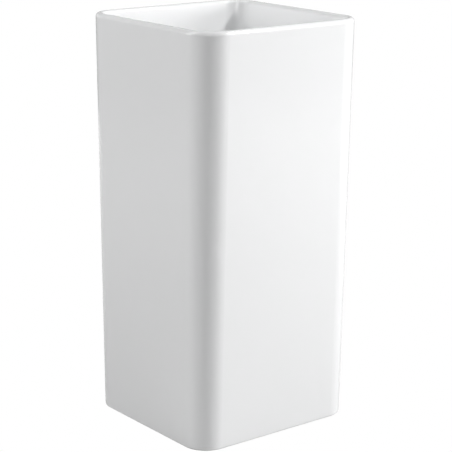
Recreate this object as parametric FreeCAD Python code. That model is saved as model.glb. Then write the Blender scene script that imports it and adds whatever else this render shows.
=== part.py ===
"""Freestanding pedestal basin: one tall tapered ceramic piece that is bowl and column together.

Units are millimetres. +Z is up and the floor is z = 0. The origin is the middle of the base.
-Y is the front and +Y is the back, which stands towards the wall. The column is hollow and open
underneath, and its back has an access opening. A click-clack waste hangs in the bowl's drain
hole, a bottle trap hangs on the waste, and two angle brackets hold the base to the floor.
"""
import FreeCAD, Part
import math
import os

V = FreeCAD.Vector
UP = V(0, 0, 1)
BACK = V(0, 1, 0)

# construction only: how far a cutter runs past the face that it leaves through, how close an
# edge must lie to a plane to count as on it, and a radius just short of half a side
OVERRUN = 1.0
ON_PLANE = 1e-3
NEARLY_ROUND = 0.98

# ceramic column
HEIGHT = 850.0
TOP_WIDTH = 410.0
TOP_DEPTH = 410.0
BASE_WIDTH = 400.0
BASE_DEPTH = 378.0
TOP_CORNER = 60.0
BASE_CORNER = 52.0
BASE_EDGE_ROUND = 3.5
RIM_ROUND = 8.0
RIM_INNER_ROUND = 7.0
RIM_WALL = 17.0
BOWL_CORNER = 38.0
COLUMN_WALL = 14.0

# bowl
BOWL_WALL_FOOT = 722.0
BOWL_DRAFT = 7.0
BOWL_FOOT_ROUND = 24.0
DRAIN_RIM = 712.0
DRAIN_DISH_R = 46.0
FLOOR_THICK = 13.0
DRAIN_HOLE_R = 23.0
RECESS_R = 34.5
RECESS_DEPTH = 3.0
DRAIN_BOSS_R = 40.0
DRAIN_BOSS_DEPTH = 5.0
BOWL_OVERRUN = 12.0

# opening in the back of the column
ACCESS_WIDTH = 230.0
ACCESS_LOW = 120.0
ACCESS_HIGH = 620.0
ACCESS_CORNER = 40.0
ACCESS_EDGE_ROUND = 4.0
ACCESS_CUT = 120.0

# click-clack waste, G 1 1/4 thread
GASKET_THICK = 2.0
GASKET_R = 32.5
FLANGE_R = 33.0
FLANGE_THICK = 3.0
FLANGE_BEVEL = 1.2
GASKET_FIT = 0.5
WASTE_TUBE_R = 20.95
WASTE_BORE_R = 18.0
WASTE_LENGTH = 80.0
SEAT_MOUTH_R = 27.0
SEAT_DROP = 6.0
SPIDER_DROP = 24.0
SPIDER_THICK = 6.0
SPIDER_HUB_R = 8.0
SPIDER_ARM = 3.0
SPIDER_ARMS = 3
CAP_R = 31.0
CAP_EDGE = 2.2
CAP_DOME = 3.4
CAP_EDGE_ROUND = 0.8
CAP_BOSS_R = 7.0
CAP_BOSS_DEPTH = 5.0
CAP_STEM_GRIP = 1.0
PLUG_SEAL_R = 24.5
PLUG_SEAL_SECTION = 1.6
PLUG_SEAL_SUNK = 0.4
PLUG_LIFT = 8.0
SEAT_GAP = 0.1
STEM_R = 3.0
COLLAR_R = 4.5
COLLAR_THICK = 2.5
SLEEVE_R = 6.0
SLEEVE_BORE_R = 4.8
GUIDE_BORE_R = 3.05
VENT_R = 1.5
SLEEVE_FLOOR = 2.0
SLEEVE_RIM = 1.8
SLEEVE_RIM_HIGH = 3.0
STEM_CLEAR = 0.5
SLEEVE_ABOVE_HUB = 6.0
SLEEVE_LENGTH = 38.0
GUIDE_LENGTH = 4.0
SPRING_COIL_R = 3.7
SPRING_WIRE_R = 0.35
SPRING_TURNS = 7

# parts under the bowl floor
CONE_THICK = 10.0
CONE_TOP_R = 31.0
CONE_FOOT_R = 27.0
SLIP_THICK = 1.5
SLIP_R = 30.0
BACKNUT_THICK = 10.0
BACKNUT_FLATS = 54.0
THREAD_FIT = 0.05
WASHER_FIT = 0.1
CORNER_TURNED_OFF = 0.7

# bottle trap, 32 mm pipe
PIPE_R = 16.0
PIPE_WALL = 1.8
INLET_SEAL_THICK = 2.5
INLET_FLANGE_R = 20.2
INLET_FLANGE_THICK = 2.5
INLET_NUT_R = 26.0
INLET_NUT_HIGH = 24.0
NUT_RIB_R = 1.6
NUT_RIBS = 18
NUT_FACE = 3.0
NUT_EDGE_ROUND = 1.5
NUT_RIB_FOOT = 3.0
NUT_RIB_HEAD = 2.0
INLET_HOLE_FIT = 0.6
PIPE_FIT = 0.3
BOTTLE_R = 30.0
BOTTLE_WALL = 2.6
BOTTLE_TOP = 588.0
BOTTLE_FOOT = 512.0
NECK_R = 20.0
NECK_HIGH = 14.0
NECK_LIP = 1.2
NECK_SKIRT = 2.0
SHOULDER_HIGH = 8.0
SHOULDER_INSIDE_LOW = 10.0
SHOULDER_INSIDE_HIGH = 4.0
TRAP_NUT_R = 24.5
TRAP_NUT_HIGH = 18.0
TRAP_SEAL_HIGH = 6.0
SEAL_PROUD = 2.0
SEAL_FIT = 0.05
SEAL_LIP = 0.2
SEAL_GAP = 0.1
OUTLET_HEIGHT = 553.0
OUTLET_REACH = 62.0
OUTLET_NUT_R = 24.5
OUTLET_NUT_HIGH = 20.0
ARM_INSERT = 14.0
ARM_END = 204.0
ARM_SPIGOT = 40.0
ARM_BEAD = 3.0
ARM_BEAD_R = 17.6
DIP_END = 482.0
CUP_SKIRT_R = 34.5
CUP_SKIRT_HIGH = 18.0
CUP_R = 29.0
CUP_WALL = 2.6
CUP_FOOT = 448.0
CUP_BEVEL = 6.0
CUP_FLARE = 4.0
CUP_RIB_INSET = 1.0
CUP_RIB_R = 1.5
CUP_RIBS = 24
CUP_SEAL_SECTION = 1.5
CUP_GAP = 0.3
COLLAR_RIM_R = 34.5
COLLAR_RIM = 3.0

# floor fixings, M8
FIXING_X = 110.0
FIXING_Z = 30.0
PAD_BOSS_R = 18.0
PAD_FACE = 169.0
FIXING_SEAT = 181.3
FIXING_RECESS_R = 13.0
FIXING_HOLE_R = 6.0
BUSH_FLANGE_R = 10.5
BUSH_FLANGE = 1.2
BUSH_R = 5.8
BOLT_R = 4.0
BOLT_FIT = 0.2
BOLT_LENGTH = 30.0
BOLT_HEAD = 5.3
BOLT_HEAD_FLATS = 13.0
BOLT_POINT = 0.8
WASHER_R = 8.0
WASHER_THICK = 1.6
PAD_THICK = 2.0
PAD_SIDE = 34.0
STEEL = 3.0
BRACKET_WIDE = 40.0
BRACKET_LEG = 46.0
BRACKET_FOOT = 44.0
BRACKET_BEND_R = 5.0
SLOT_LENGTH = 20.0
SLOT_R = 4.25
NUT_THICK = 6.5
NUT_FLATS = 13.0
NUT_FIT = 0.02
BOSS_CUT = 40.0
RECESS_CUT = 20.0

# heights that follow from the sizes above
SEAT = DRAIN_RIM - RECESS_DEPTH
FLANGE_UNDER = SEAT + GASKET_THICK
FLANGE_TOP = FLANGE_UNDER + FLANGE_THICK
WASTE_FOOT = SEAT - WASTE_LENGTH
COLUMN_ROOF = DRAIN_RIM - FLOOR_THICK
BOSS_UNDER = COLUMN_ROOF - DRAIN_BOSS_DEPTH
SPIDER_TOP = FLANGE_TOP - SPIDER_DROP
SLEEVE_TOP = SPIDER_TOP + SLEEVE_ABOVE_HUB
SLEEVE_FOOT = SLEEVE_TOP - SLEEVE_LENGTH
COLLAR_TOP = SLEEVE_TOP - GUIDE_LENGTH - PLUG_LIFT - STEM_CLEAR
COLLAR_FOOT = COLLAR_TOP - COLLAR_THICK
SPRING_SEAT = SLEEVE_FOOT + SLEEVE_FLOOR
SLIP_TOP = BOSS_UNDER - CONE_THICK
BACKNUT_TOP = SLIP_TOP - SLIP_THICK
INLET_SEAL_FOOT = WASTE_FOOT - INLET_SEAL_THICK
INLET_FLANGE_FOOT = INLET_SEAL_FOOT - INLET_FLANGE_THICK
INLET_NUT_FOOT = INLET_FLANGE_FOOT - NUT_FACE
NECK_TOP = BOTTLE_TOP + NECK_HIGH
CUP_SKIRT_FOOT = BOTTLE_FOOT - CUP_GAP - CUP_WALL
CUP_SKIRT_TOP = CUP_SKIRT_FOOT + CUP_SKIRT_HIGH
CUP_SEAL_MID = CUP_SKIRT_TOP + CUP_GAP + CUP_SEAL_SECTION
COLLAR_RIM_FOOT = CUP_SEAL_MID + CUP_SEAL_SECTION + CUP_GAP


def rounded_outline(width, depth, corner, z):
    """Closed wire of a rectangle with rounded corners, centred on the Z axis at height z."""
    half_w = width / 2.0
    half_d = depth / 2.0
    edges = []
    for quarter in range(4):
        angle = quarter * math.pi / 2.0
        sign_x = 1 if quarter in (0, 3) else -1
        sign_y = 1 if quarter in (0, 1) else -1
        middle = V(sign_x * (half_w - corner), sign_y * (half_d - corner), z)
        points = []
        for step in range(3):
            turn = angle + step * math.pi / 4.0
            points.append(middle + V(corner * math.cos(turn), corner * math.sin(turn), 0))
        if edges:
            last = edges[-1].Vertexes[-1].Point
            edges.append(Part.makeLine(last, points[0]))
        edges.append(Part.Arc(*points).toShape())
    edges.append(Part.makeLine(edges[-1].Vertexes[-1].Point, edges[0].Vertexes[0].Point))
    return Part.Wire(edges)


def column_size(z, inset):
    """Width, depth and corner radius of the tapered column at height z, moved in by inset."""
    share = z / HEIGHT
    width = BASE_WIDTH + (TOP_WIDTH - BASE_WIDTH) * share - 2 * inset
    depth = BASE_DEPTH + (TOP_DEPTH - BASE_DEPTH) * share - 2 * inset
    corner = BASE_CORNER + (TOP_CORNER - BASE_CORNER) * share - inset
    return width, depth, corner


def column_block(low, high, inset_low, inset_high):
    """Solid between two heights, whose sides follow the column's faces at the given insets."""
    wires = []
    for z, inset in ((low, inset_low), (high, inset_high)):
        width, depth, corner = column_size(z, inset)
        wires.append(rounded_outline(width, depth, corner, z))
    return Part.makeLoft(wires, True, True)


def edges_at(shape, z):
    """Edges of a shape that lie wholly at height z."""
    found = []
    for edge in shape.Edges:
        box = edge.BoundBox
        if abs(box.ZMin - z) < ON_PLANE and abs(box.ZMax - z) < ON_PLANE:
            found.append(edge)
    return found


def edges_inside(edges, half_size):
    """Those edges whose boxes stay within half_size of the Z axis."""
    found = []
    for edge in edges:
        box = edge.BoundBox
        reach = max(abs(box.XMin), abs(box.XMax), abs(box.YMin), abs(box.YMax))
        if reach < half_size:
            found.append(edge)
    return found


def disc(radius, low, high, x=0.0, y=0.0):
    """Upright cylinder between two heights."""
    return Part.makeCylinder(radius, high - low, V(x, y, low), UP)


def ring(outer, inner, low, high):
    """Upright tube between two heights."""
    return disc(outer, low, high).cut(disc(inner, low - OVERRUN, high + OVERRUN))


def turned(profile):
    """Solid of revolution about Z from (radius, height) points."""
    points = [V(radius, 0, z) for radius, z in profile]
    face = Part.Face(Part.makePolygon(points + points[:1]))
    return face.revolve(V(0, 0, 0), UP, 360)


def torus(radius, section, z):
    """Rubber ring of round section, lying level with its middle at height z."""
    return Part.makeTorus(radius, section, V(0, 0, z), UP)


def prism(flats, low, high):
    """Upright hexagon bar with the given size across flats."""
    corner = flats / math.sqrt(3)
    points = []
    for side in range(6):
        turn = side * math.pi / 3.0
        points.append(V(corner * math.cos(turn), corner * math.sin(turn), low))
    face = Part.Face(Part.makePolygon(points + points[:1]))
    return face.extrude(V(0, 0, high - low))


def chamfered_prism(flats, low, high):
    """Hexagon nut blank with its corners turned off at both ends."""
    corner = flats / math.sqrt(3)
    drop = (corner - flats / 2.0) * CORNER_TURNED_OFF
    high_mid = high - drop
    low_mid = low + drop
    cone = turned([(0, low), (flats / 2.0, low), (corner, low_mid), (corner, high_mid),
                   (flats / 2.0, high), (0, high)])
    return prism(flats, low, high).common(cone)


def ribs(count, circle_r, rib_r, low, high):
    """Grip ribs: upright half-round bars spaced round a circle."""
    bars = []
    for index in range(count):
        turn = 2 * math.pi * index / count
        bars.append(disc(rib_r, low, high, circle_r * math.cos(turn), circle_r * math.sin(turn)))
    return bars


def laid_back(shape, height):
    """Turn an upright piece so that its +Z points to the back, its foot in the plane y = 0."""
    laid = shape.copy()
    laid.rotate(V(0, 0, 0), V(1, 0, 0), -90)
    laid.translate(V(0, 0, height))
    return laid


def fixing_pair(make_piece):
    """The same fixing piece at the left and at the right, as one group of two solids."""
    pieces = []
    for side in (-1, 1):
        piece = make_piece()
        piece.translate(V(side * FIXING_X, 0, 0))
        pieces.append(piece)
    return Part.makeCompound(pieces)


# ceramic

def bowl_space():
    """The space that the bowl holds: near upright walls, a wide curve and a dished floor."""
    above = HEIGHT + BOWL_OVERRUN
    per_mm = BOWL_DRAFT / (HEIGHT - BOWL_WALL_FOOT)
    inset_above = RIM_WALL - per_mm * (above - HEIGHT)
    rings = []
    for z, inset in ((BOWL_WALL_FOOT, RIM_WALL + BOWL_DRAFT), (above, inset_above)):
        width, depth, _ = column_size(z, inset)
        rings.append(rounded_outline(width, depth, BOWL_CORNER, z))
    walls = Part.makeLoft(rings, True, True)
    foot = rings[0]
    drain = rounded_outline(2 * DRAIN_DISH_R, 2 * DRAIN_DISH_R, DRAIN_DISH_R * NEARLY_ROUND, DRAIN_RIM)
    dish = Part.makeLoft([foot, drain], True, True)
    space = walls.fuse(dish).removeSplitter()
    return space.makeFillet(BOWL_FOOT_ROUND, edges_at(space, BOWL_WALL_FOOT))


def basin_body():
    """One fired piece: bowl, hollow column, access opening, drain hole and fixing pads."""
    outside = column_block(0, HEIGHT, 0, 0)
    outside = outside.makeFillet(RIM_ROUND, edges_at(outside, HEIGHT))
    outside = outside.makeFillet(BASE_EDGE_ROUND, edges_at(outside, 0))
    body = outside.cut(bowl_space())
    inner_rim = edges_inside(edges_at(body, HEIGHT), TOP_WIDTH / 2.0 - RIM_WALL + OVERRUN)
    body = body.makeFillet(RIM_INNER_ROUND, inner_rim)
    hollow = column_block(0, COLUMN_ROOF, COLUMN_WALL, COLUMN_WALL)
    hollow = hollow.makeFillet(COLUMN_WALL, edges_at(hollow, COLUMN_ROOF))
    hollow = hollow.cut(disc(DRAIN_BOSS_R, BOSS_UNDER, COLUMN_ROOF + OVERRUN))
    for side in (-1, 1):
        pad = Part.makeCylinder(PAD_BOSS_R, BOSS_CUT, V(side * FIXING_X, PAD_FACE, FIXING_Z), BACK)
        hollow = hollow.cut(pad)
    body = body.cut(hollow)
    body = body.cut(disc(DRAIN_HOLE_R, BOSS_UNDER - OVERRUN, HEIGHT))
    body = body.cut(disc(RECESS_R, SEAT, HEIGHT))
    body = body.cut(access_window())
    body = body.makeFillet(ACCESS_EDGE_ROUND, window_edges(body))
    for side in (-1, 1):
        start = V(side * FIXING_X, PAD_FACE - OVERRUN, FIXING_Z)
        body = body.cut(Part.makeCylinder(FIXING_HOLE_R, BOSS_CUT, start, BACK))
        seat = V(side * FIXING_X, FIXING_SEAT, FIXING_Z)
        body = body.cut(Part.makeCylinder(FIXING_RECESS_R, RECESS_CUT, seat, BACK))
    return body


def window_edges(body):
    """Edges of the access opening on the column's outer back face."""
    found = []
    for edge in body.Edges:
        box = edge.BoundBox
        within = box.ZMin > ACCESS_LOW - OVERRUN and box.ZMax < ACCESS_HIGH + OVERRUN
        narrow = max(abs(box.XMin), abs(box.XMax)) < ACCESS_WIDTH / 2.0 + OVERRUN
        if within and narrow and box.YMin > BASE_DEPTH / 2.0:
            found.append(edge)
    return found


def access_window():
    """Cutter for the opening in the back of the column."""
    tall = ACCESS_HIGH - ACCESS_LOW
    outline = rounded_outline(ACCESS_WIDTH, tall, ACCESS_CORNER, 0)
    cutter = Part.Face(outline).extrude(UP * ACCESS_CUT)
    cutter = laid_back(cutter, (ACCESS_LOW + ACCESS_HIGH) / 2.0)
    cutter.translate(BACK * (BASE_DEPTH - ACCESS_CUT) / 2.0)
    return cutter


# waste

def waste_body():
    """Flanged waste: dished seat, threaded tube, and a three-armed spider for the cartridge."""
    shell = turned([
        (WASTE_BORE_R, WASTE_FOOT), (WASTE_TUBE_R, WASTE_FOOT), (WASTE_TUBE_R, FLANGE_UNDER),
        (FLANGE_R, FLANGE_UNDER), (FLANGE_R, FLANGE_TOP - FLANGE_BEVEL),
        (FLANGE_R - FLANGE_BEVEL, FLANGE_TOP),
        (SEAT_MOUTH_R, FLANGE_TOP), (WASTE_BORE_R, FLANGE_TOP - SEAT_DROP)])
    spider_foot = SPIDER_TOP - SPIDER_THICK
    hub = disc(SPIDER_HUB_R, spider_foot, SPIDER_TOP)
    for arm in range(SPIDER_ARMS):
        spoke = Part.makeBox(WASTE_BORE_R + OVERRUN, SPIDER_ARM, SPIDER_THICK,
                             V(0, -SPIDER_ARM / 2.0, spider_foot))
        spoke.rotate(V(0, 0, 0), UP, arm * 360.0 / SPIDER_ARMS)
        hub = hub.fuse(spoke)
    hub = hub.cut(disc(SLEEVE_R, spider_foot - OVERRUN, SPIDER_TOP + OVERRUN))
    return shell.fuse(hub).removeSplitter()


def waste_gasket():
    """Flat rubber ring between the flange and the ceramic recess."""
    return ring(GASKET_R, WASTE_TUBE_R + GASKET_FIT, SEAT, FLANGE_UNDER)


def click_sleeve():
    """Cartridge sleeve that screws into the spider; its top guides the plug's stem."""
    sleeve = disc(SLEEVE_R, SLEEVE_FOOT, SLEEVE_TOP)
    sleeve = sleeve.fuse(disc(SLEEVE_R + SLEEVE_RIM, SPIDER_TOP, SPIDER_TOP + SLEEVE_RIM_HIGH))
    sleeve = sleeve.cut(disc(SLEEVE_BORE_R, SPRING_SEAT, SLEEVE_TOP - GUIDE_LENGTH))
    sleeve = sleeve.cut(disc(GUIDE_BORE_R, SPRING_SEAT, SLEEVE_TOP + OVERRUN))
    return sleeve.cut(disc(VENT_R, SLEEVE_FOOT - OVERRUN, SLEEVE_TOP))


def click_spring():
    """Compression spring between the sleeve's floor and the stem's collar."""
    low = SPRING_SEAT + SPRING_WIRE_R
    tall = COLLAR_FOOT - SPRING_WIRE_R - low
    path = Part.makeHelix(tall / SPRING_TURNS, tall, SPRING_COIL_R)
    path.translate(V(0, 0, low))
    start = V(SPRING_COIL_R, 0, low)
    section = Part.Wire(Part.makeCircle(SPRING_WIRE_R, start, BACK))
    return Part.Wire(path.Edges).makePipeShell([section], True, True)


def plug_cap():
    """Domed cap with a boss underneath and a groove for its seal."""
    under = cap_underside()
    top = under + CAP_EDGE
    crown = top + CAP_DOME
    sphere_r = (CAP_R ** 2 + CAP_DOME ** 2) / (2 * CAP_DOME)
    ball = Part.makeSphere(sphere_r, UP * (crown - sphere_r))
    cap = disc(CAP_R, under, crown).common(ball)
    cap = cap.makeFillet(CAP_EDGE_ROUND, edges_at(cap, top))
    boss_foot = under - CAP_BOSS_DEPTH
    cap = cap.fuse(disc(CAP_BOSS_R, boss_foot, under + CAP_STEM_GRIP))
    cap = cap.cut(torus(PLUG_SEAL_R, PLUG_SEAL_SECTION, seal_height()))
    return cap.cut(disc(STEM_R, boss_foot - OVERRUN, under + CAP_STEM_GRIP))


def seal_height():
    """Height of the middle of the plug's seal when it lies on the dished seat."""
    run = SEAT_MOUTH_R - WASTE_BORE_R
    slope = math.hypot(run, SEAT_DROP)
    clear = PLUG_SEAL_SECTION + SEAT_GAP
    return FLANGE_TOP + (clear * slope - SEAT_DROP * (SEAT_MOUTH_R - PLUG_SEAL_R)) / run


def cap_underside():
    """Height of the cap's flat underside, which holds the upper part of the seal."""
    return seal_height() + PLUG_SEAL_SECTION * PLUG_SEAL_SUNK


def plug_seal():
    """Rubber ring in the cap's groove."""
    return torus(PLUG_SEAL_R, PLUG_SEAL_SECTION, seal_height())


def plug_stem():
    """Stem from the cap down to the collar that the spring pushes."""
    top = cap_underside() + CAP_STEM_GRIP
    return disc(STEM_R, COLLAR_FOOT, top).fuse(disc(COLLAR_R, COLLAR_FOOT, COLLAR_TOP))


def cone_washer():
    """Tapered rubber washer that seals the hole from below."""
    bore = WASTE_TUBE_R + WASHER_FIT
    return turned([(bore, SLIP_TOP), (CONE_FOOT_R, SLIP_TOP), (CONE_TOP_R, BOSS_UNDER),
                   (bore, BOSS_UNDER)])


def slip_washer():
    """Thin hard washer that lets the nut turn without dragging the rubber."""
    return ring(SLIP_R, WASTE_TUBE_R + WASHER_FIT, BACKNUT_TOP, SLIP_TOP)


def backnut():
    """Hexagon nut that pulls the waste down."""
    low = BACKNUT_TOP - BACKNUT_THICK
    return chamfered_prism(BACKNUT_FLATS, low, BACKNUT_TOP).cut(
        disc(WASTE_TUBE_R + THREAD_FIT, low - OVERRUN, BACKNUT_TOP + OVERRUN))


# bottle trap

def union_nut(radius, tall, thread_r, hole_r):
    """Ribbed union nut standing on z = 0, closed below by a face with a clear hole."""
    nut = disc(radius, 0, tall)
    nut = nut.makeFillet(NUT_EDGE_ROUND, edges_at(nut, 0))
    grips = ribs(NUT_RIBS, radius, NUT_RIB_R, NUT_RIB_FOOT, tall - NUT_RIB_HEAD)
    nut = nut.multiFuse(grips).removeSplitter()
    nut = nut.cut(disc(thread_r, NUT_FACE, tall + OVERRUN))
    return nut.cut(disc(hole_r, -OVERRUN, NUT_FACE + OVERRUN))


def turned_over(shape):
    """The same piece upside down, still standing on z = 0."""
    flipped = shape.copy()
    flipped.rotate(V(0, 0, 0), V(1, 0, 0), 180)
    flipped.translate(V(0, 0, -flipped.BoundBox.ZMin))
    return flipped


def inlet_nut():
    """Union nut between the waste tube and the trap's inlet tube."""
    thread_r = WASTE_TUBE_R + THREAD_FIT
    nut = union_nut(INLET_NUT_R, INLET_NUT_HIGH, thread_r, PIPE_R + INLET_HOLE_FIT)
    nut.translate(V(0, 0, INLET_NUT_FOOT))
    return nut


def inlet_seal():
    """Flat rubber ring between the waste tube's end and the inlet tube's flange."""
    return ring(INLET_FLANGE_R, PIPE_R - PIPE_WALL, INLET_SEAL_FOOT, WASTE_FOOT)


def inlet_tube():
    """Flanged tube that dips into the trap."""
    bore = PIPE_R - PIPE_WALL
    return turned([(bore, DIP_END), (PIPE_R, DIP_END), (PIPE_R, INLET_FLANGE_FOOT),
                   (INLET_FLANGE_R, INLET_FLANGE_FOOT), (INLET_FLANGE_R, INLET_SEAL_FOOT),
                   (bore, INLET_SEAL_FOOT)])


def trap_body():
    """Upper half of the bottle: neck, shoulder, drum and side outlet."""
    inner_r = BOTTLE_R - BOTTLE_WALL
    socket_r = PIPE_R + PIPE_FIT
    outer = turned([(0, BOTTLE_FOOT), (BOTTLE_R, BOTTLE_FOOT), (BOTTLE_R, COLLAR_RIM_FOOT),
                    (COLLAR_RIM_R, COLLAR_RIM_FOOT), (COLLAR_RIM_R, COLLAR_RIM_FOOT + COLLAR_RIM),
                    (BOTTLE_R, COLLAR_RIM_FOOT + COLLAR_RIM), (BOTTLE_R, BOTTLE_TOP - SHOULDER_HIGH),
                    (NECK_R + NECK_SKIRT, BOTTLE_TOP), (NECK_R, BOTTLE_TOP), (NECK_R, NECK_TOP),
                    (0, NECK_TOP)])
    branch = laid_back(disc(NECK_R, 0, OUTLET_REACH), OUTLET_HEIGHT)
    seat_depth = TRAP_SEAL_HIGH - SEAL_PROUD
    inner = turned([(0, BOTTLE_FOOT - OVERRUN), (inner_r, BOTTLE_FOOT - OVERRUN),
                    (inner_r, BOTTLE_TOP - SHOULDER_INSIDE_LOW),
                    (socket_r, BOTTLE_TOP - SHOULDER_INSIDE_HIGH), (socket_r, NECK_TOP - seat_depth),
                    (NECK_R - NECK_LIP, NECK_TOP), (0, NECK_TOP)])
    passage = laid_back(disc(PIPE_R - PIPE_WALL, 0, OUTLET_REACH + OVERRUN), OUTLET_HEIGHT)
    socket_start = OUTLET_REACH - ARM_INSERT
    socket = laid_back(disc(socket_r, socket_start, OUTLET_REACH + OVERRUN), OUTLET_HEIGHT)
    flare = turned([(0, -seat_depth), (socket_r, -seat_depth), (NECK_R - NECK_LIP, 0), (0, 0)])
    flare = laid_back(flare, OUTLET_HEIGHT)
    flare.translate(BACK * OUTLET_REACH)
    body = outer.fuse(branch)
    for cutter in (inner, passage, socket, flare):
        body = body.cut(cutter)
    return body


def cone_seal():
    """Tapered rubber seal standing on z = 0, that the union nut pushes into the flare."""
    bore = PIPE_R + SEAL_FIT
    rim = NECK_R - NECK_LIP - SEAL_GAP
    return turned([(bore, 0), (bore + SEAL_LIP, 0), (rim, TRAP_SEAL_HIGH - SEAL_PROUD),
                   (rim, TRAP_SEAL_HIGH), (bore, TRAP_SEAL_HIGH)])


def trap_nut():
    """Union nut that grips the dip tube in the bottle's neck."""
    nut = turned_over(union_nut(TRAP_NUT_R, TRAP_NUT_HIGH, NECK_R + THREAD_FIT, PIPE_R + PIPE_FIT))
    nut.translate(UP * (NECK_TOP + SEAL_PROUD + NUT_FACE - TRAP_NUT_HIGH))
    return nut


def trap_seal():
    """Seal round the dip tube, between the neck's flare and its nut."""
    seal = cone_seal()
    seal.translate(UP * (NECK_TOP + SEAL_PROUD - TRAP_SEAL_HIGH))
    return seal


def outlet_nut():
    """Union nut that grips the waste arm in the side outlet."""
    nut = turned_over(union_nut(OUTLET_NUT_R, OUTLET_NUT_HIGH, NECK_R + THREAD_FIT, PIPE_R + PIPE_FIT))
    nut = laid_back(nut, OUTLET_HEIGHT)
    nut.translate(BACK * (OUTLET_REACH + SEAL_PROUD + NUT_FACE - OUTLET_NUT_HIGH))
    return nut


def outlet_seal():
    """Seal round the waste arm."""
    seal = laid_back(cone_seal(), OUTLET_HEIGHT)
    seal.translate(BACK * (OUTLET_REACH + SEAL_PROUD - TRAP_SEAL_HIGH))
    return seal


def waste_arm():
    """Pipe from the trap's outlet through the access opening, with a stop bead behind its spigot."""
    start = OUTLET_REACH - ARM_INSERT
    pipe = ring(PIPE_R, PIPE_R - PIPE_WALL, start, ARM_END)
    bead_end = ARM_END - ARM_SPIGOT
    bead = ring(ARM_BEAD_R, PIPE_R - PIPE_WALL / 2.0, bead_end - ARM_BEAD, bead_end)
    return laid_back(pipe.fuse(bead), OUTLET_HEIGHT)


def trap_cup():
    """Lower half of the bottle, which unscrews for cleaning."""
    outer = turned([(0, CUP_FOOT), (CUP_R - CUP_BEVEL, CUP_FOOT), (CUP_R, CUP_FOOT + CUP_BEVEL),
                    (CUP_R, CUP_SKIRT_FOOT - CUP_FLARE), (CUP_SKIRT_R, CUP_SKIRT_FOOT),
                    (CUP_SKIRT_R, CUP_SKIRT_TOP), (0, CUP_SKIRT_TOP)])
    rib_foot = CUP_SKIRT_FOOT + CUP_RIB_INSET
    outer = outer.multiFuse(ribs(CUP_RIBS, CUP_SKIRT_R, CUP_RIB_R, rib_foot, CUP_SKIRT_TOP - CUP_RIB_INSET))
    inner_r = CUP_R - CUP_WALL
    inner_foot = CUP_FOOT + CUP_WALL
    inner_bevel = CUP_BEVEL - CUP_RIB_INSET
    inner = turned([(0, inner_foot), (inner_r - inner_bevel, inner_foot),
                    (inner_r, inner_foot + inner_bevel), (inner_r, BOTTLE_FOOT), (0, BOTTLE_FOOT)])
    thread = disc(BOTTLE_R + CUP_GAP, BOTTLE_FOOT - CUP_GAP, CUP_SKIRT_TOP + OVERRUN)
    return outer.removeSplitter().cut(inner).cut(thread)


def cup_seal():
    """Rubber ring round the bottle, between the cup's skirt and the bottle's collar."""
    return torus(BOTTLE_R + CUP_SEAL_SECTION + CUP_GAP, CUP_SEAL_SECTION, CUP_SEAL_MID)


# floor fixings

def at_fixing(shape, y):
    """Lay an upright piece back at a fixing's height, its foot in the plane y."""
    placed = laid_back(shape, FIXING_Z)
    placed.translate(V(0, y, 0))
    return placed


def fixing_bush():
    """Flanged nylon bush that keeps the steel bolt off the ceramic."""
    reach = FIXING_SEAT - PAD_FACE
    bush = disc(BUSH_R, 0, reach).fuse(disc(BUSH_FLANGE_R, reach, reach + BUSH_FLANGE))
    bush = bush.cut(disc(BOLT_R + BOLT_FIT, -OVERRUN, reach + BUSH_FLANGE + OVERRUN))
    return at_fixing(bush, PAD_FACE)


def fixing_washer():
    """Steel washer under the bolt's head."""
    return at_fixing(ring(WASHER_R, BOLT_R + BOLT_FIT, 0, WASHER_THICK), FIXING_SEAT + BUSH_FLANGE)


def fixing_bolt():
    """Hexagon bolt through the ceramic, the pad and the bracket."""
    bolt = disc(BOLT_R, 0, BOLT_LENGTH)
    bolt = bolt.makeChamfer(BOLT_POINT, edges_at(bolt, 0))
    bolt = bolt.fuse(chamfered_prism(BOLT_HEAD_FLATS, BOLT_LENGTH, BOLT_LENGTH + BOLT_HEAD))
    return at_fixing(bolt, FIXING_SEAT + BUSH_FLANGE + WASHER_THICK - BOLT_LENGTH)


def fixing_pad():
    """Rubber pad between the ceramic's flat boss and the bracket."""
    side = PAD_SIDE / 2.0
    pad = Part.makeBox(PAD_SIDE, PAD_THICK, PAD_SIDE, V(-side, PAD_FACE - PAD_THICK, FIXING_Z - side))
    hole = disc(BOLT_R + BOLT_FIT, -OVERRUN, PAD_THICK + OVERRUN)
    return pad.cut(at_fixing(hole, PAD_FACE - PAD_THICK))


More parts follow.
